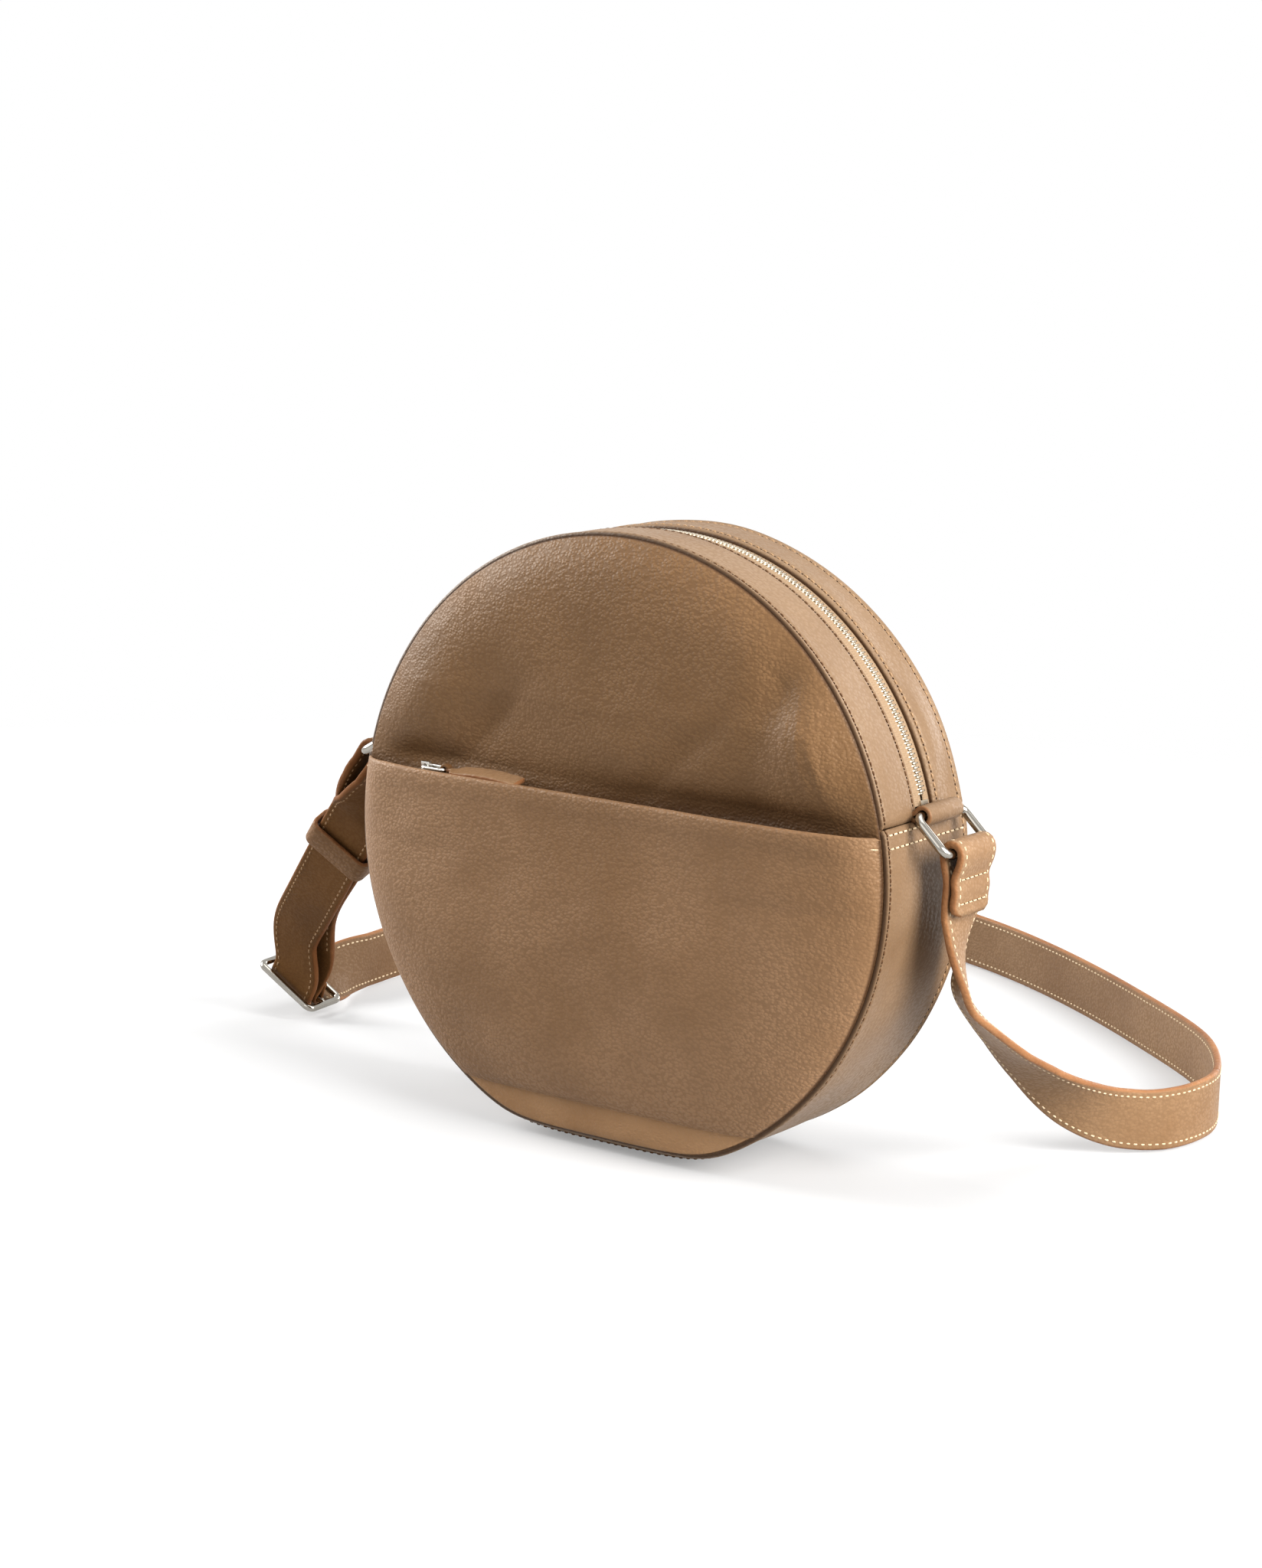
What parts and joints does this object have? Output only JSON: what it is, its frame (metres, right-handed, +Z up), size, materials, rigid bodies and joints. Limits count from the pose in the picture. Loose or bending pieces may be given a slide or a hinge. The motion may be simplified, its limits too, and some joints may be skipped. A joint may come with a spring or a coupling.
{
  "type": "circle bag",
  "caption": "Round leather shoulder bag with a zipped gusset, a puffed zip pocket on its front and an adjustable strap laid behind it.",
  "frame": {"origin": "middle of the bag's flat foot, on the floor", "axes": "+Z up, -Y out of the front with the pocket, +X to the right seen from the front"},
  "size_m": [0.4166, 0.3844, 0.241],
  "materials": {
    "panel_leather": "pebbled",
    "tan_leather": "pebbled",
    "lining_cloth": "matte",
    "zip_tape": "matte",
    "zip_teeth": "satin",
    "hardware": "polished"
  },
  "bodies": {
    "bag": {"front_panel": "panel_leather", "back_panel": "panel_leather", "front_pocket": "panel_leather", "lower_gusset": "tan_leather", "upper_gusset_front": "tan_leather", "upper_gusset_back": "tan_leather", "ring_tab_left": "tan_leather", "ring_tab_right": "tan_leather", "strap_right_fall": "tan_leather", "strap_long_run": "tan_leather", "strap_threaded": "tan_leather", "strap_inner_layer": "tan_leather", "strap_outer_layer": "tan_leather", "strap_end_left": "tan_leather", "front_lining": "lining_cloth", "back_lining": "lining_cloth", "gusset_lining": "lining_cloth", "main_tape_front": "zip_tape", "main_tape_back": "zip_tape", "pocket_tape_rear": "zip_tape", "pocket_tape_front": "zip_tape", "main_teeth_front": "zip_teeth", "main_teeth_back": "zip_teeth", "pocket_teeth_front": "zip_teeth", "pocket_teeth_rear": "zip_teeth", "main_zip_stops": "zip_teeth", "pocket_zip_stops": "zip_teeth"},
    "main_slider": {"main_slider": "hardware"},
    "main_link": {"main_link": "hardware"},
    "main_pull": {"main_pull": "tan_leather"},
    "pocket_slider": {"pocket_slider": "hardware"},
    "pocket_link": {"pocket_link": "hardware"},
    "pocket_pull": {"pocket_pull": "tan_leather"},
    "ring_right": {"ring_right": "hardware", "strap_end_right": "tan_leather"},
    "ring_left": {"ring_left": "hardware", "strap_fold_left": "tan_leather"},
    "keeper": {"strap_keeper": "tan_leather"},
    "buckle": {"buckle_frame": "hardware"}
  },
  "joints": [
    {"name": "main_zip_run", "type": "hinge", "parent": "bag", "child": "main_slider", "pos_m": [0, 0.004, 0.119], "axis": [0, 1, 0], "range_deg": [0, 119], "deforming": ["main_teeth_front", "main_teeth_back"]},
    {"name": "main_link_flip", "type": "hinge", "parent": "main_slider", "child": "main_link", "pos_m": [-0.11692, 0.004, 0.15954], "axis": [0, 1, 0], "range_deg": [-100, 0]},
    {"name": "main_pull_flip", "type": "hinge", "parent": "main_link", "child": "main_pull", "pos_m": [-0.11365, 0.004, 0.16899], "axis": [0, 1, 0], "range_deg": [-40, 0]},
    {"name": "pocket_zip_run", "type": "slide", "parent": "bag", "child": "pocket_slider", "axis": [1, 0, 0], "range_m": [0, 0.165], "deforming": ["pocket_teeth_front", "pocket_teeth_rear"]},
    {"name": "pocket_link_flip", "type": "hinge", "parent": "pocket_slider", "child": "pocket_link", "pos_m": [-0.08502, -0.0367, 0.14255], "axis": [0, 1, 0], "range_deg": [-120, 0]},
    {"name": "pocket_pull_flip", "type": "hinge", "parent": "pocket_link", "child": "pocket_pull", "pos_m": [-0.07502, -0.0367, 0.14255], "axis": [0, 1, 0], "range_deg": [-60, 0]},
    {"name": "right_ring_swing", "type": "hinge", "parent": "bag", "child": "ring_right", "pos_m": [0.12317, 0.004, 0.14702], "axis": [0, 1, 0], "range_deg": [-40, 8], "deforming": ["strap_right_fall"]},
    {"name": "left_ring_swing", "type": "hinge", "parent": "bag", "child": "ring_left", "pos_m": [-0.12317, 0.004, 0.14702], "axis": [0, 1, 0], "range_deg": [-12, 30], "deforming": ["strap_inner_layer", "strap_outer_layer"]},
    {"name": "keeper_slide", "type": "slide", "parent": "bag", "child": "keeper", "axis": [0.6427, -0.2788, 0.7136], "range_m": [-0.015, 0.012], "deforming": ["strap_inner_layer", "strap_outer_layer"]},
    {"name": "buckle_tilt", "type": "hinge", "parent": "bag", "child": "buckle", "pos_m": [-0.226, 0.051, 0.01422], "axis": [0.8643, 0.0201, -0.5025], "range_deg": [-8, 8], "deforming": ["strap_threaded", "strap_outer_layer"]}
  ]
}
